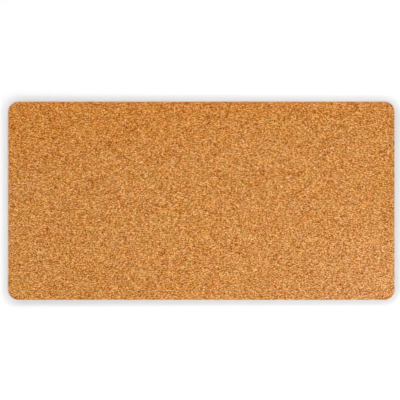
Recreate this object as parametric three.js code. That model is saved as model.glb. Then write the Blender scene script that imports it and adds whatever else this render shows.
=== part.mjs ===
// A desk-size mouse pad: a sheet of pressed cork granules, bonded through a thin woven cloth to a
// foamed natural rubber base, with all the layers die-cut flush to one rounded outline.
// Millimetres, +Z up. The origin is the middle of the face that lies on the desk, +X runs along the
// pad's length and +Y towards the back of the desk.
import * as THREE from "three";

// The die's outline
const padLength = 600;
const padWidth = 307.5;
const cornerRadius = 15.7;
const stepsPerCorner = 20;

// Layers, from the desk up
const baseThickness = 1.6;
const baseFilmThickness = 0.1;
const clothThickness = 0.3;
const corkFilmThickness = 0.1;
const corkThickness = 0.9;

// The rubber's cut edge: the embossing belt rounds its foot, and the foam draws in where it is cut
const baseFootRadius = 0.35;
const baseDrawIn = 0.18;

// The cork's cut edge is buffed round at the top, so that it doesn't crumble under a wrist
const corkEdgeRadius = 0.35;
const stepsPerEdge = 6;

// The glue films and the cloth shrink back a little from the die's cut
const filmSetback = 0.05;
const clothSetback = 0.03;

// The rounded rectangle that the die cuts, moved in by an inset. Its points run anticlockwise.
function outline(inset) {
  const radius = cornerRadius - inset;
  const centreX = padLength / 2 - cornerRadius;
  const centreY = padWidth / 2 - cornerRadius;
  const quarter = Math.PI / 2;
  const corners = [
    [centreX, centreY],
    [-centreX, centreY],
    [-centreX, -centreY],
    [centreX, -centreY],
  ];
  return corners.flatMap(([x, y], corner) =>
    Array.from({ length: stepsPerCorner + 1 }, (_, step) => {
      const angle = quarter * (corner + step / stepsPerCorner);
      return new THREE.Vector2(x + radius * Math.cos(angle), y + radius * Math.sin(angle));
    }),
  );
}

// A closed sheet built from rings of the outline. Each section point says how far its ring is moved
// in from the die's cut and how high it lies above the sheet's underside, from the bottom up.
function sheetGeometry(section) {
  const rings = section.map(({ inset }) => outline(inset));
  const count = rings[0].length;
  const positions = rings.flatMap((ring, level) =>
    ring.flatMap((point) => [point.x, point.y, section[level].height]),
  );
  const triangles = [];
  for (let level = 0; level < rings.length - 1; level += 1) {
    for (let i = 0; i < count; i += 1) {
      const low = level * count + i;
      const lowNext = level * count + ((i + 1) % count);
      const high = low + count;
      const highNext = lowNext + count;
      triangles.push(low, lowNext, highNext, low, highNext, high);
    }
  }
  const top = (rings.length - 1) * count;
  for (const [a, b, c] of THREE.ShapeUtils.triangulateShape(rings.at(-1), [])) {
    triangles.push(top + a, top + b, top + c);
  }
  for (const [a, b, c] of THREE.ShapeUtils.triangulateShape(rings[0], [])) {
    triangles.push(a, c, b);
  }
  const geometry = new THREE.BufferGeometry();
  geometry.setAttribute("position", new THREE.Float32BufferAttribute(positions, 3));
  geometry.setIndex(triangles);
  geometry.computeVertexNormals();
  return geometry;
}

// A square-cut sheet with its edge moved in by a setback
function plainSection(thickness, setback) {
  return [
    { inset: setback, height: 0 },
    { inset: setback, height: thickness },
  ];
}

// The cork: upright where it is cut, then a quarter round into the face that the mouse runs on
function corkSection(thickness) {
  const section = [{ inset: 0, height: 0 }];
  for (let step = 0; step <= stepsPerEdge; step += 1) {
    const angle = (Math.PI / 2) * (step / stepsPerEdge);
    section.push({
      inset: corkEdgeRadius * (1 - Math.cos(angle)),
      height: thickness - corkEdgeRadius * (1 - Math.sin(angle)),
    });
  }
  return section;
}

// The rubber: a quarter round at the foot, then a shallow hollow up to the film above
function baseSection(thickness) {
  const section = [];
  for (let step = 0; step <= stepsPerEdge; step += 1) {
    const angle = (Math.PI / 2) * (step / stepsPerEdge);
    section.push({
      inset: baseFootRadius * (1 - Math.sin(angle)),
      height: baseFootRadius * (1 - Math.cos(angle)),
    });
  }
  for (let step = 1; step <= stepsPerEdge; step += 1) {
    const share = step / stepsPerEdge;
    section.push({
      inset: baseDrawIn * Math.sin(Math.PI * share),
      height: baseFootRadius + (thickness - baseFootRadius) * share,
    });
  }
  return section;
}

const corkMaterial = new THREE.MeshStandardMaterial({ color: 0xcd8a49, roughness: 0.75, metalness: 0 });
const glueMaterial = new THREE.MeshStandardMaterial({ color: 0xcbb892, roughness: 0.45, metalness: 0 });
const clothMaterial = new THREE.MeshStandardMaterial({ color: 0xb9a888, roughness: 0.95, metalness: 0 });
const rubberMaterial = new THREE.MeshStandardMaterial({ color: 0x26272a, roughness: 0.9, metalness: 0 });

// The layers in the order they are laid up, from the desk
const layers = [
  { name: "rubber_base", thickness: baseThickness, section: baseSection, material: rubberMaterial },
  {
    name: "base_adhesive_film",
    thickness: baseFilmThickness,
    section: (thickness) => plainSection(thickness, filmSetback),
    material: glueMaterial,
  },
  {
    name: "backing_cloth",
    thickness: clothThickness,
    section: (thickness) => plainSection(thickness, clothSetback),
    material: clothMaterial,
  },
  {
    name: "cork_adhesive_film",
    thickness: corkFilmThickness,
    section: (thickness) => plainSection(thickness, filmSetback),
    material: glueMaterial,
  },
  { name: "cork_sheet", thickness: corkThickness, section: corkSection, material: corkMaterial },
];

const mousePad = new THREE.Group();
mousePad.name = "mouse_pad";
let level = 0;
for (const layer of layers) {
  // A mesh holds 32-bit numbers, so each thickness is rounded to one, and bonded faces meet exactly.
  const thickness = Math.fround(layer.thickness);
  const sheet = new THREE.Mesh(sheetGeometry(layer.section(thickness)), layer.material);
  sheet.name = layer.name;
  sheet.position.z = level;
  mousePad.add(sheet);
  level += thickness;
}

export default mousePad;
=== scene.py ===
import math

import bpy
from mathutils import Color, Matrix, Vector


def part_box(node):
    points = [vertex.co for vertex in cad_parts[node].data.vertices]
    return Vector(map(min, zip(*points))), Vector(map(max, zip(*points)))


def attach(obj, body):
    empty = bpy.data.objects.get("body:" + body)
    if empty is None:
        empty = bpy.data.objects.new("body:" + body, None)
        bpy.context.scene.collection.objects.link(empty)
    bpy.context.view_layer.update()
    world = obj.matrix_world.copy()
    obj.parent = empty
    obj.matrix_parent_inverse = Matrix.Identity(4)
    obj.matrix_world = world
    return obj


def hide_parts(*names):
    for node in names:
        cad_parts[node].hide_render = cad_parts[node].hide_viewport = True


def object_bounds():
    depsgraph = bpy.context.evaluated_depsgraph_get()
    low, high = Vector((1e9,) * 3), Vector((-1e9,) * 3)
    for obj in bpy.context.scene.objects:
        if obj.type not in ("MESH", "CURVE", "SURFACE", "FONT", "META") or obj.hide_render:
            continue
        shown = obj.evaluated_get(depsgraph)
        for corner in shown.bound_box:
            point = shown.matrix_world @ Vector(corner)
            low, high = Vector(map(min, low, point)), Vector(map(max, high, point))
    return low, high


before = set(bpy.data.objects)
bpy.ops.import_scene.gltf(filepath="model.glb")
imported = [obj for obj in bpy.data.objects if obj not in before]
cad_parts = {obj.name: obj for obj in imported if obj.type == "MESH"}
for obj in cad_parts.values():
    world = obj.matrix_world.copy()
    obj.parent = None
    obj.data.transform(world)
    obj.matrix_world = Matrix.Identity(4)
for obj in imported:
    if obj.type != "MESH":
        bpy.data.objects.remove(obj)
cad_low, cad_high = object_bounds()

# The photograph's view
# The pad lies flat, and the camera looks straight down on it through a long lens. The four sides of its
# outline in the photograph, in pixels, give the scale and how far the pad lies off the middle.
image_side_px = 400
pad_left_px, pad_right_px = 8.25, 394.5
pad_top_px, pad_bottom_px = 101.8, 299.9
lens_mm = 135
film_mm = 36

metres_per_px = (cad_high.x - cad_low.x) / (pad_right_px - pad_left_px)
camera_data = bpy.data.cameras.new("camera")
camera_data.lens = lens_mm
camera_data.sensor_width = film_mm
camera = bpy.data.objects.new("camera", camera_data)
camera.location = (
    (image_side_px - pad_left_px - pad_right_px) / 2 * metres_per_px,
    (pad_top_px + pad_bottom_px - image_side_px) / 2 * metres_per_px,
    cad_high.z + image_side_px * metres_per_px * lens_mm / film_mm,
)
bpy.context.scene.collection.objects.link(camera)
bpy.context.scene.camera = camera
bpy.context.scene.view_settings.view_transform = "Standard"

# Rubber base
# Foamed natural rubber, rolled into a sheet on a belt that presses wavy ribs into its underside for grip.
# It is bonded to the backing cloth, and the die that cuts the whole laminate leaves its edge drawn in.
corner_radius = 0.0157
rib_pitch = 0.0055
rib_depth = 0.0003
wave_length = 0.018
wave_swing = 0.0013
steps_per_rib = 5
steps_per_wave = 8
foot_radius = 0.00035
draw_in = 0.00018
edge_steps = 4
weld_distance = 0.000001
rubber_black = (0.016, 0.016, 0.018, 1.0)
rubber_worn = (0.034, 0.034, 0.034, 1.0)
rubber_roughness = 0.7
rubber_roughness_swing = 0.2
pore_size = 0.00045
pore_wall = (0.15, 0.5)
pore_relief = 0.00006
dust_size = 0.009
dust_detail = 5.0
dust_reach = (0.45, 0.75)


class Pattern:
    """A socket in a node tree. Sums on it add Math nodes, and node() adds any other node to its tree."""

    def __init__(self, tree, socket=None):
        self.tree = tree
        self.socket = socket

    def node(self, kind, settings, sockets, output=0):
        """Adds a node: its settings first, then the values or links of its sockets."""
        made = self.tree.nodes.new(kind)
        for name, setting in settings.items():
            if name == "stops":
                for spare in list(made.color_ramp.elements)[1:]:
                    made.color_ramp.elements.remove(spare)
                made.color_ramp.elements[0].position = setting[0][0]
                made.color_ramp.elements[0].color = setting[0][1]
                for place, colour in setting[1:]:
                    made.color_ramp.elements.new(place).color = colour
            else:
                setattr(made, name, setting)
        for name, value in sockets.items():
            if isinstance(value, Pattern):
                self.tree.links.new(value.socket, made.inputs[name])
            else:
                made.inputs[name].default_value = value
        return Pattern(self.tree, made.outputs[output] if made.outputs else None)

    def also(self, output):
        """Another output of the same node."""
        return Pattern(self.tree, self.socket.node.outputs[output])

    def math(self, operation, *terms):
        return self.node("ShaderNodeMath", {"operation": operation}, dict(enumerate(terms)))

    def vector(self, operation, *terms):
        return self.node("ShaderNodeVectorMath", {"operation": operation}, dict(enumerate((self, *terms))))

    def scaled(self, share):
        """This vector or colour times a number."""
        return self.node("ShaderNodeVectorMath", {"operation": "SCALE"}, {0: self, "Scale": share})

    def ramp(self, low, high, to_low=0.0, to_high=1.0):
        """Rises smoothly from to_low to to_high as this socket goes from low to high."""
        return self.node(
            "ShaderNodeMapRange",
            {"interpolation_type": "SMOOTHSTEP"},
            {"Value": self, "From Min": low, "From Max": high, "To Min": to_low, "To Max": to_high},
        )

    def __add__(self, other):
        return self.math("ADD", self, other)

    def __radd__(self, other):
        return self.math("ADD", other, self)

    def __sub__(self, other):
        return self.math("SUBTRACT", self, other)

    def __rsub__(self, other):
        return self.math("SUBTRACT", other, self)

    def __mul__(self, other):
        return self.math("MULTIPLY", self, other)

    def __rmul__(self, other):
        return self.math("MULTIPLY", other, self)

    def __truediv__(self, other):
        return self.math("DIVIDE", self, other)


def grown(name, sizes, material, draw):
    """A mesh grown by Geometry Nodes. draw() gets a Pattern for each named size and returns the shape."""
    tree = bpy.data.node_groups.new(name, "GeometryNodeTree")
    tree.interface.new_socket("Geometry", in_out="OUTPUT", socket_type="NodeSocketGeometry")
    for size_name, size in sizes.items():
        kind = "NodeSocketInt" if isinstance(size, int) else "NodeSocketFloat"
        tree.interface.new_socket(size_name, in_out="INPUT", socket_type=kind)
    start = tree.nodes.new("NodeGroupInput")
    shape = draw(Pattern(tree), {size_name: Pattern(tree, start.outputs[size_name]) for size_name in sizes})
    shape = shape.node("GeometryNodeRealizeInstances", {}, {"Geometry": shape})
    shape = shape.node("GeometryNodeSetMaterial", {}, {"Geometry": shape, "Material": material})
    tree.links.new(shape.socket, tree.nodes.new("NodeGroupOutput").inputs["Geometry"])

    bed = bpy.data.objects.new(name + "_bed", bpy.data.meshes.new(name + "_bed"))
    bpy.context.scene.collection.objects.link(bed)
    modifier = bed.modifiers.new("grow", "NODES")
    modifier.node_group = tree
    for item in tree.interface.items_tree:
        if item.in_out == "INPUT":
            modifier[item.identifier] = sizes[item.name]
    evaluated = bed.evaluated_get(bpy.context.evaluated_depsgraph_get())
    piece = bpy.data.objects.new(name, bpy.data.meshes.new_from_object(evaluated))
    piece.data.name = name
    bpy.context.scene.collection.objects.link(piece)
    bpy.data.objects.remove(bed)
    return piece


def die_cut_grid(board, size, inset):
    """A flat grid with its four corners drawn in to the die's round ones, all of it inset from the cut."""
    half_x = size["Length"] / 2 - inset
    half_y = size["Width"] / 2 - inset
    radius = size["Corner Radius"] - inset
    grid = board.node(
        "GeometryNodeMeshGrid",
        {},
        {
            "Size X": half_x * 2,
            "Size Y": half_y * 2,
            "Vertices X": size["Columns"],
            "Vertices Y": size["Rows"],
        },
    )
    place = board.node("GeometryNodeInputPosition", {}, {})
    x = place.node("ShaderNodeSeparateXYZ", {}, {0: place})
    y = x.also("Y")
    core_x, core_y = inner_corner(x, y, half_x - radius, half_y - radius)
    across, along = (x - core_x) / radius, (y - core_y) / radius
    round_x = core_x + radius * across * board.math("SQRT", 1 - along * along / 2)
    round_y = core_y + radius * along * board.math("SQRT", 1 - across * across / 2)
    moved = board.node("ShaderNodeCombineXYZ", {}, {"X": round_x, "Y": round_y})
    return board.node("GeometryNodeSetPosition", {}, {"Geometry": grid, "Position": moved})


def inner_corner(x, y, reach_x, reach_y):
    """The nearest point of the rectangle whose corners are the centres of the outline's round corners."""
    core_x = x.node("ShaderNodeClamp", {}, {"Value": x, "Min": 0 - reach_x, "Max": reach_x})
    core_y = y.node("ShaderNodeClamp", {}, {"Value": y, "Min": 0 - reach_y, "Max": reach_y})
    return core_x, core_y


def way_out(board, size, place):
    """The level direction that leads from a point on the cut straight out of the pad."""
    x = place.node("ShaderNodeSeparateXYZ", {}, {0: place})
    y, z = x.also("Y"), x.also("Z")
    reach_x = size["Length"] / 2 - size["Corner Radius"]
    reach_y = size["Width"] / 2 - size["Corner Radius"]
    core_x, core_y = inner_corner(x, y, reach_x, reach_y)
    core = board.node("ShaderNodeCombineXYZ", {}, {"X": core_x, "Y": core_y, "Z": z})
    return place.vector("SUBTRACT", core).vector("NORMALIZE")


def drawn_out(board, shape, rim):
    """A strip of new faces along an edge, still without width, whose far edge is its output Top."""
    return board.node(
        "GeometryNodeExtrudeMesh", {"mode": "EDGES"}, {"Mesh": shape, "Selection": rim, "Offset Scale": 0.0}
    )


def wall(board, size, shape, rim, rings):
    """Draws an edge out into a wall. Each ring says how far it steps out from the one before, which height
    it heads for and what share of the way it goes."""
    for outward, height, share in rings:
        drawn = drawn_out(board, shape, rim)
        rim = drawn.also("Top")
        place = board.node("GeometryNodeInputPosition", {}, {})
        z = place.node("ShaderNodeSeparateXYZ", {}, {0: place}, "Z")
        step = way_out(board, size, place).scaled(outward)
        rise = board.node("ShaderNodeCombineXYZ", {}, {"Z": (height - z) * share})
        shape = board.node(
            "GeometryNodeSetPosition",
            {},
            {"Geometry": drawn, "Selection": rim, "Offset": step.vector("ADD", rise)},
        )
    return shape, rim


def closed(board, shape, rim, height):
    """Closes a wall with a fan of faces to the middle of the pad."""
    drawn = drawn_out(board, shape, rim)
    middle = board.node("ShaderNodeCombineXYZ", {}, {"Z": height})
    shape = board.node(
        "GeometryNodeSetPosition",
        {},
        {"Geometry": drawn, "Selection": drawn.also("Top"), "Position": middle},
    )
    welded = board.node("GeometryNodeMergeByDistance", {}, {"Geometry": shape, "Distance": weld_distance})
    return welded, drawn.also("Side")


def open_edges(board):
    """The edges that have a face on one side only."""
    faces = board.node("GeometryNodeInputMeshEdgeNeighbors", {}, {})
    return board.node("FunctionNodeCompare", {"data_type": "INT", "operation": "EQUAL"}, {2: faces, 3: 1})


def smooth_but(board, shape, flat_faces):
    """Shades a shape smooth, except for the hidden faces that close it."""
    smooth_faces = board.node("FunctionNodeBooleanMath", {"operation": "NOT"}, {0: flat_faces})
    return board.node("GeometryNodeSetShadeSmooth", {}, {"Geometry": shape, "Shade Smooth": smooth_faces})


def quarter_round(radius, end_height, steps):
    """The rings of a quarter round, from the flat face out to the upright cut at end_height."""
    rings = []
    for step in range(steps):
        low, high = math.pi / 2 * step / steps, math.pi / 2 * (step + 1) / steps
        outward = radius * (math.sin(high) - math.sin(low))
        share = (math.cos(low) - math.cos(high)) / math.cos(low)
        rings.append((outward, end_height, share))
    return rings


def ribbed_base(board, size):
    grid = die_cut_grid(board, size, foot_radius)
    place = board.node("GeometryNodeInputPosition", {}, {})
    x = place.node("ShaderNodeSeparateXYZ", {}, {0: place})
    y = x.also("Y")
    swing = size["Wave Swing"] * board.math("SINE", x * (2 * math.pi) / size["Wave Length"])
    rib = board.math("COSINE", (y + swing) * (2 * math.pi) / size["Rib Pitch"])
    lift = board.node("ShaderNodeCombineXYZ", {}, {"Z": size["Rib Depth"] * (1 - rib) / 2})
    ribbed = board.node("GeometryNodeSetPosition", {}, {"Geometry": grid, "Offset": lift})
    ribbed = board.node("GeometryNodeFlipFaces", {}, {"Mesh": ribbed})
    rings = quarter_round(foot_radius, base_low.z + foot_radius, edge_steps)
    hollow = 0.0
    for step in range(1, edge_steps + 1):
        share = step / edge_steps
        deeper = draw_in * math.sin(math.pi * share)
        height = base_low.z + foot_radius + (base_high.z - base_low.z - foot_radius) * share
        rings.append((hollow - deeper, height, 1.0))
        hollow = deeper
    walled, rim = wall(board, size, ribbed, open_edges(board), rings)
    whole, lid = closed(board, walled, rim, base_high.z)
    return smooth_but(board, whole, lid)


def new_material(name):
    """An empty material, its Principled shader and the place on the object, in metres."""
    material = bpy.data.materials.new(name)
    material.use_nodes = True
    material.node_tree.nodes.clear()
    board = Pattern(material.node_tree)
    place = board.node("ShaderNodeTexCoord", {}, {}, "Object")
    return material, board, place


def finish_material(board, sockets):
    shader = board.node("ShaderNodeBsdfPrincipled", {}, sockets)
    board.node("ShaderNodeOutputMaterial", {}, {"Surface": shader})


def mixed(board, share, one, other):
    """One colour where the share is 0 and the other where it is 1."""
    return board.node("ShaderNodeMix", {"data_type": "RGBA"}, {0: share, 6: one, 7: other}, 2)


def noise(place, size, detail, output="Fac"):
    """Soft random patches of about this size."""
    sockets = {"Vector": place, "Scale": 1 / size, "Detail": detail}
    return place.node("ShaderNodeTexNoise", {}, sockets, output)


def cells(place, size, feature="F1"):
    """Random cells of about this size, and how far a point is from its cell's middle or edge."""
    return place.node("ShaderNodeTexVoronoi", {"feature": feature}, {"Vector": place, "Scale": 1 / size})


base_low, base_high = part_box("rubber_base")
rubber_material, board, place = new_material("foamed_rubber_pores")
pit = cells(place, pore_size).ramp(*pore_wall)
dust = noise(place, dust_size, dust_detail)
dusty = dust.ramp(*dust_reach) * pit
finish_material(
    board,
    {
        "Base Color": mixed(board, dusty, rubber_black, rubber_worn),
        "Roughness": rubber_roughness + rubber_roughness_swing * dust,
        "Normal": board.node("ShaderNodeBump", {}, {"Height": pit, "Distance": pore_relief}),
    },
)
rubber_base = grown(
    "rubber_base_ribbed",
    {
        "Length": base_high.x - base_low.x,
        "Width": base_high.y - base_low.y,
        "Corner Radius": corner_radius,
        "Columns": round((base_high.x - base_low.x) / wave_length * steps_per_wave),
        "Rows": round((base_high.y - base_low.y) / rib_pitch * steps_per_rib),
        "Rib Pitch": rib_pitch,
        "Rib Depth": rib_depth,
        "Wave Length": wave_length,
        "Wave Swing": wave_swing,
    },
    rubber_material,
    ribbed_base,
)
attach(rubber_base, "root")
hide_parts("rubber_base")

# Adhesive films
# Thin films of hot-melt glue, one between the rubber and the cloth and one between the cloth and the cork.
# They show only as two fine lines at the cut, where they shrink back a little.
glue_clear = (0.60, 0.48, 0.29, 1.0)
glue_cloudy = (0.72, 0.62, 0.44, 1.0)
glue_roughness = 0.3
glue_roughness_swing = 0.3
cloud_size = 0.0015
cloud_detail = 3.0
cloud_reach = (0.3, 0.7)
cloud_relief = 0.00002

glue_material, board, place = new_material("hot_melt_film")
cloud = noise(place, cloud_size, cloud_detail)
finish_material(
    board,
    {
        "Base Color": mixed(board, cloud.ramp(*cloud_reach), glue_clear, glue_cloudy),
        "Roughness": glue_roughness + glue_roughness_swing * cloud,
        "Normal": board.node("ShaderNodeBump", {}, {"Height": cloud, "Distance": cloud_relief}),
    },
)
for film in ("base_adhesive_film", "cork_adhesive_film"):
    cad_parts[film].material_slots[0].material = glue_material

# Backing cloth
# A thin plain-woven cloth between the two films, which lets the cork bend without cracking. Its warp runs
# across the pad and its weft along it, and the die leaves the cut ends of both standing a little proud.
cloth_setback = 0.00003
yarn_pitch = 0.0006
yarn_stand = 0.00006
yarn_crimp = 0.00004
yarn_end_rings = ((1.0, 0.25), (0.0, 0.75), (-1.0, 1.0))
steps_per_yarn = 4
steps_per_corner = 30
warp_cream = (0.56, 0.47, 0.32, 1.0)
weft_cream = (0.50, 0.40, 0.26, 1.0)
yarn_crossing = (-0.2, 0.2)
yarn_shade_reach = (0.0, 0.6)
shade_between_yarns = 0.45
slub_length = 0.012
slub_detail = 3.0
slub_swing = 0.25
cloth_roughness = 0.8
slub_roughness = 0.15
cloth_fuzz = 0.3
weave_relief = 0.00008
level_face = 0.9


def yarn_wave(place, pitch):
    """How near a point is to the middle of a yarn, from 0 to 1, and which yarns lie on top there."""
    wave = place.math("COSINE", place * math.pi / pitch)
    return wave * wave, wave


def woven_sheet(board, size):
    outline = board.node(
        "GeometryNodeCurvePrimitiveQuadrilateral",
        {"mode": "RECTANGLE"},
        {"Width": size["Length"] - yarn_stand * 2, "Height": size["Width"] - yarn_stand * 2},
    )
    outline = board.node(
        "GeometryNodeFilletCurve",
        {"mode": "POLY"},
        {"Curve": outline, "Count": steps_per_corner, "Radius": size["Corner Radius"] - yarn_stand},
    )
    outline = board.node(
        "GeometryNodeResampleCurve",
        {"mode": "LENGTH"},
        {"Curve": outline, "Length": size["Yarn Pitch"] / steps_per_yarn},
    )
    ring = board.node("GeometryNodeCurveToMesh", {}, {"Curve": outline})
    lift = board.node("ShaderNodeCombineXYZ", {}, {"Z": cloth_low.z})
    ring = board.node("GeometryNodeSetPosition", {}, {"Geometry": ring, "Offset": lift})
    sheet, _ = closed(board, ring, True, cloth_low.z)

    place = board.node("GeometryNodeInputPosition", {}, {})
    x = place.node("ShaderNodeSeparateXYZ", {}, {0: place})
    y = x.also("Y")
    out = way_out(board, size, place)
    out_x = out.node("ShaderNodeSeparateXYZ", {}, {0: out})
    warp, warp_side = yarn_wave(x, size["Yarn Pitch"])
    weft, weft_side = yarn_wave(y, size["Yarn Pitch"])
    warp_share = board.math("ABSOLUTE", out_x.also("Y"))
    weft_share = board.math("ABSOLUTE", out_x)
    stand = size["Yarn Stand"] * (warp_share * warp + weft_share * weft)
    crimp = size["Yarn Crimp"] * (warp_share * warp_side + weft_share * weft_side)
    rings = []
    for outward, share in yarn_end_rings:
        height = cloth_low.z + (cloth_high.z - cloth_low.z) * share
        rings.append((stand * outward, height + crimp * (1 - share) if share < 1 else height, 1.0))
    walled, rim = wall(board, size, sheet, open_edges(board), rings)
    whole, _ = closed(board, walled, rim, cloth_high.z)
    facing = board.node("GeometryNodeInputNormal", {}, {})
    upright = facing.node("ShaderNodeSeparateXYZ", {}, {0: facing}, "Z")
    level = board.math("GREATER_THAN", board.math("ABSOLUTE", upright), level_face)
    return smooth_but(board, whole, level)


cloth_low, cloth_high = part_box("backing_cloth")
cloth_material, board, place = new_material("plain_woven_cloth")
x = place.node("ShaderNodeSeparateXYZ", {}, {0: place})
y = x.also("Y")
warp, warp_side = yarn_wave(x, yarn_pitch)
weft, weft_side = yarn_wave(y, yarn_pitch)
warp_on_top = (warp_side * weft_side).ramp(*yarn_crossing)
raised = warp * warp_on_top + weft * (1 - warp_on_top)
slub_scale = (1 / yarn_pitch, 1 / slub_length, 1.0)
slub = noise(place.vector("MULTIPLY", slub_scale), 1.0, slub_detail)
cream = mixed(board, warp_on_top, weft_cream, warp_cream)
# A painted shade: the cloth is painted darker down the sides of each yarn and between the yarns; the slubs
# vary its tone along them.
yarn_shade_and_slub = raised.ramp(*yarn_shade_reach, shade_between_yarns, 1.0) * (1 + slub_swing * (slub - 0.5))
finish_material(
    board,
    {
        "Base Color": cream.scaled(yarn_shade_and_slub),
        "Roughness": cloth_roughness + slub_roughness * slub,
        "Sheen Weight": cloth_fuzz,
        "Normal": board.node("ShaderNodeBump", {}, {"Height": raised, "Distance": weave_relief}),
    },
)
backing_cloth = grown(
    "backing_cloth_woven",
    {
        "Length": cloth_high.x - cloth_low.x,
        "Width": cloth_high.y - cloth_low.y,
        "Corner Radius": corner_radius - cloth_setback,
        "Yarn Pitch": yarn_pitch,
        "Yarn Stand": yarn_stand,
        "Yarn Crimp": yarn_crimp,
    },
    cloth_material,
    woven_sheet,
)
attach(backing_cloth, "root")
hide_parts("backing_cloth")

# Cork sheet
# Granules of cork bark, pressed with a binder into a block and sliced into a sheet, which leaves them cut
# flat and longer one way. The face is sanded, so that the binder shines only on the pale granules. The edge
# is buffed round after the die's cut, and its rim is painted a little paler: a painted highlight.
granule_size = 0.00082
granule_stretch = 1.8
chip_size = 0.0005
wander_size = 0.0010
wander_detail = 2.0
wander_reach = (0.0006, 0.0006, 0.0006)
bark_size = 0.0011
bark_stretch = 2.4
bark_share = 0.02
bark_radius = 0.42
hue_size = 0.014
hue_detail = 2.0
tone_middle = 0.5
granule_tone = 0.44
granule_tail = 2.7
chip_tone = 0.2
grain_tone = 0.3
seam_tone = 0.12
bark_tone = 0.6
grain_size = 0.0005
grain_detail = 3.0
seam_width = 0.1
bark_fade = 0.1
hue_swing = (0.20, 0.22, 0.50)
back_shade_reach = (0.05, 0.165)
back_shade_slant = 0.15
back_shade_loss = (0.0, 0.09, 0.28)
rim_highlight_width = 0.0009
rim_highlight_tone = 0.1
binder_tones = (0.15, 0.75)
binder_share = (0.0, 0.35)
binder_roughness = 0.27
cork_gloss = 0.0
cork_roughness = 0.6
roughness_swing = 0.3
tone_relief = 0.00004
cork_edge_radius = 0.00035
cork_columns = 410
cork_rows = 210
granule_relief = 0.00008
seam_relief = 0.00012


def paint(*screen_values):
    """A colour from its 8-bit screen values."""
    light = Color([value / 255 for value in screen_values]).from_srgb_to_scene_linear()
    return (*light, 1.0)


def stray(place, size, detail, reach):
    """Random vectors about zero, in soft patches of about this size. The reach is that of each axis."""
    patches = noise(place, size, detail, "Color")
    return patches.vector("SUBTRACT", (0.5, 0.5, 0.5)).vector("MULTIPLY", reach)


def pressed_granules(place):
    """The granules as cells in space: a random number for each granule and each chip in it, how far a point
    is from the seam between two granules, and where there is a sliver of dark bark."""
    laid = place.vector("MULTIPLY", (1 / granule_stretch, 1.0, 1.0))
    wander = stray(laid, wander_size, wander_detail, wander_reach)
    laid = laid.vector("ADD", wander)
    granule = cells(laid, granule_size)
    chip = cells(laid, chip_size)
    seam = cells(laid, granule_size, "DISTANCE_TO_EDGE")
    flat = place.vector("MULTIPLY", (1 / bark_stretch, 1.0, 1.0)).vector("ADD", wander)
    sliver = cells(flat, bark_size)
    inside = sliver.ramp(bark_radius, bark_radius + bark_fade, 1.0, 0.0)
    bark = sliver.math("LESS_THAN", cell_number(sliver), bark_share) * inside
    return cell_number(granule), cell_number(chip), seam, bark


def cell_number(cell):
    """A random number from 0 to 1 for each cell."""
    return cell.node("ShaderNodeSeparateXYZ", {}, {0: cell.also("Color")})


def sanded_sheet(board, size):
    grid = die_cut_grid(board, size, cork_edge_radius)
    grid = board.node("GeometryNodeSetPosition", {}, {"Geometry": grid, "Offset": (0.0, 0.0, cork_high.z)})
    granule, chip, seam, bark = pressed_granules(board.node("GeometryNodeInputPosition", {}, {}))
    sunk = size["Granule Relief"] * granule + size["Seam Relief"] * seam.ramp(0.0, seam_width, 1.0, 0.0)
    drop = board.node("ShaderNodeCombineXYZ", {}, {"Z": 0 - sunk})
    pressed = board.node("GeometryNodeSetPosition", {}, {"Geometry": grid, "Offset": drop})
    rings = quarter_round(cork_edge_radius, cork_high.z - cork_edge_radius, edge_steps)
    rings.append((0.0, cork_low.z, 1.0))
    walled, rim = wall(board, size, pressed, open_edges(board), rings)
    whole, lid = closed(board, walled, rim, cork_low.z)
    return smooth_but(board, whole, lid)


def past_cut(x, y):
    """How far a point lies outside the pad's outline, below 0 inside it."""
    reach_x = (cork_high.x - cork_low.x) / 2 - corner_radius
    reach_y = (cork_high.y - cork_low.y) / 2 - corner_radius
    core_x, core_y = inner_corner(x, y, reach_x, reach_y)
    off_x, off_y = x - core_x, y - core_y
    return x.math("SQRT", off_x * off_x + off_y * off_y) - corner_radius


cork_low, cork_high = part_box("cork_sheet")
cork_material, board, place = new_material("pressed_cork")
granule, chip, seam, bark = pressed_granules(place)
grain = noise(place, grain_size, grain_detail)
x = place.node("ShaderNodeSeparateXYZ", {}, {0: place})
y = x.also("Y")
# A painted highlight: the cork is painted paler in a thin band along its rim.
painted_rim_highlight = (0 - past_cut(x, y)).ramp(0.0, rim_highlight_width, 1.0, 0.0)
spread = granule - 0.5
tone = tone_middle + spread * (granule_tone + granule_tail * spread * spread)
tone = tone + chip_tone * (chip - 0.5) + grain_tone * (grain - 0.5)
tone = tone - seam.ramp(0.0, seam_width, seam_tone, 0.0) - bark_tone * bark + rim_highlight_tone * painted_rim_highlight
cork_colour = board.node(
    "ShaderNodeValToRGB",
    {
        "stops": [
            (0.0, paint(110, 38, 3)),
            (0.12, paint(140, 60, 3)),
            (0.25, paint(168, 94, 4)),
            (0.35, paint(184, 109, 32)),
            (0.45, paint(197, 125, 49)),
            (0.6, paint(224, 156, 84)),
            (0.72, paint(236, 178, 111)),
            (0.85, paint(245, 189, 121)),
            (1.0, paint(248, 195, 127)),
        ]
    },
    {"Fac": tone},
)
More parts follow.
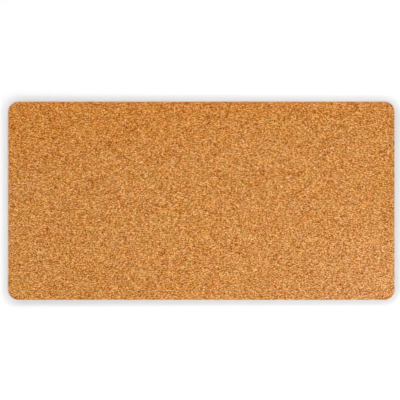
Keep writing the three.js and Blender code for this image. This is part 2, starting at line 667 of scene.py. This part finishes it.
# A painted shade: the sheet is painted darker and redder along its back edge, where less of the lamp's
# light and sheen falls.
painted_back_shade = (y - back_shade_slant * x).ramp(*back_shade_reach)
painted_back_shade = painted_back_shade.node("ShaderNodeVectorMath", {"operation": "SCALE"}, {0: back_shade_loss, "Scale": painted_back_shade})
hue_and_painted_shade = stray(place, hue_size, hue_detail, hue_swing).vector("ADD", (1.0, 1.0, 1.0)).vector("SUBTRACT", painted_back_shade)
finish_material(
    board,
    {
        "Base Color": cork_colour.vector("MULTIPLY", hue_and_painted_shade),
        "Roughness": cork_roughness + roughness_swing * (tone_middle - tone),
        "Specular IOR Level": cork_gloss,
        "Coat Weight": tone.ramp(*binder_tones, *binder_share),
        "Coat Roughness": binder_roughness,
        "Normal": board.node("ShaderNodeBump", {}, {"Height": tone, "Distance": tone_relief}),
    },
)
cork_sheet = grown(
    "cork_sheet_sanded",
    {
        "Length": cork_high.x - cork_low.x,
        "Width": cork_high.y - cork_low.y,
        "Corner Radius": corner_radius,
        "Columns": cork_columns,
        "Rows": cork_rows,
        "Granule Relief": granule_relief,
        "Seam Relief": seam_relief,
    },
    cork_material,
    sanded_sheet,
)
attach(cork_sheet, "root")
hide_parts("cork_sheet")

# Floor and light
# A plain white table top. A soft lamp hangs over the lower right, and light comes in low from all round,
# so that a thin shadow lies on the table along all four sides of the pad.
floor_side = 8.0
table_white = (0.975, 0.975, 0.975, 1.0)
daylight = (1.0, 1.0, 1.0, 1.0)
table_glow = 0.09
glow_reach = (0.007, 0.026)
lamp_place = (0.43, -0.36, 1.2)
lamp_size = 0.45
lamp_watts = 4.8
ring_strength = 19.9
ring_low = (0.185, 0.265)
ring_high = (0.24, 0.34)
ring_lean = (-0.31, 0.15, 0.0)
sky_low = (0.3, 0.4)
sky_strength = 0.129


def seen_rays(board):
    """1 for the rays that show what a surface or the sky looks like, and 0 for those that light the pad."""
    rays = board.node("ShaderNodeLightPath", {}, {}, "Is Camera Ray")
    mirrored = board.math("MAXIMUM", rays.also("Is Glossy Ray"), rays.also("Is Transmission Ray"))
    return board.math("MAXIMUM", rays, mirrored)


floor_material = bpy.data.materials.new("white_table")
floor_material.use_nodes = True
floor_material.node_tree.nodes.clear()
board = Pattern(floor_material.node_tree)
place = board.node("ShaderNodeTexCoord", {}, {}, "Object")
x = place.node("ShaderNodeSeparateXYZ", {}, {0: place})
# Away from the pad the table shows as plain white. The glow fades out within a few centimetres of the pad's
# outline, a painted shade around the pad, and there the table keeps the pad's shadow.
glow = past_cut(x, x.also("Y")).ramp(*glow_reach, 0.0, table_glow) * seen_rays(board)
shaded = board.node("ShaderNodeBsdfDiffuse", {}, {"Color": table_white})
bright = board.node("ShaderNodeEmission", {}, {"Strength": glow})
table = board.node("ShaderNodeAddShader", {}, {0: shaded, 1: bright})
board.node("ShaderNodeOutputMaterial", {}, {"Surface": table})
floor_mesh = bpy.data.meshes.new("floor")
floor_edge = floor_side / 2
floor_corners = [
    (-floor_edge, -floor_edge, 0),
    (floor_edge, -floor_edge, 0),
    (floor_edge, floor_edge, 0),
    (-floor_edge, floor_edge, 0),
]
floor_mesh.from_pydata(floor_corners, [], [(0, 1, 2, 3)])
floor_mesh.materials.append(floor_material)
floor = bpy.data.objects.new("floor", floor_mesh)
bpy.context.scene.collection.objects.link(floor)

lamp_data = bpy.data.lights.new("lamp", "AREA")
lamp_data.shape = "DISK"
lamp_data.size = lamp_size
lamp_data.energy = lamp_watts
lamp = bpy.data.objects.new("lamp", lamp_data)
lamp.location = lamp_place
lamp.rotation_euler = (-lamp.location).to_track_quat("-Z", "Y").to_euler()
bpy.context.scene.collection.objects.link(lamp)

world = bpy.data.worlds.new("room")
bpy.context.scene.world = world
world.use_nodes = True
world.node_tree.nodes.clear()
board = Pattern(world.node_tree)
way = board.node("ShaderNodeTexCoord", {}, {}, "Generated")
rise = way.node("ShaderNodeSeparateXYZ", {}, {0: way}, "Z")
lean = way.node("ShaderNodeVectorMath", {"operation": "DOT_PRODUCT"}, {0: way, 1: ring_lean}, "Value")
ring = rise.ramp(*ring_low) * rise.ramp(*ring_high, ring_strength, 0.0) * (1 + lean)
sky = rise.ramp(*sky_low, 0.0, sky_strength)
seen = seen_rays(board)
strength = (ring + sky) * (1 - seen) + seen
light = board.node("ShaderNodeBackground", {}, {"Color": daylight, "Strength": strength})
board.node("ShaderNodeOutputWorld", {}, {"Surface": light})
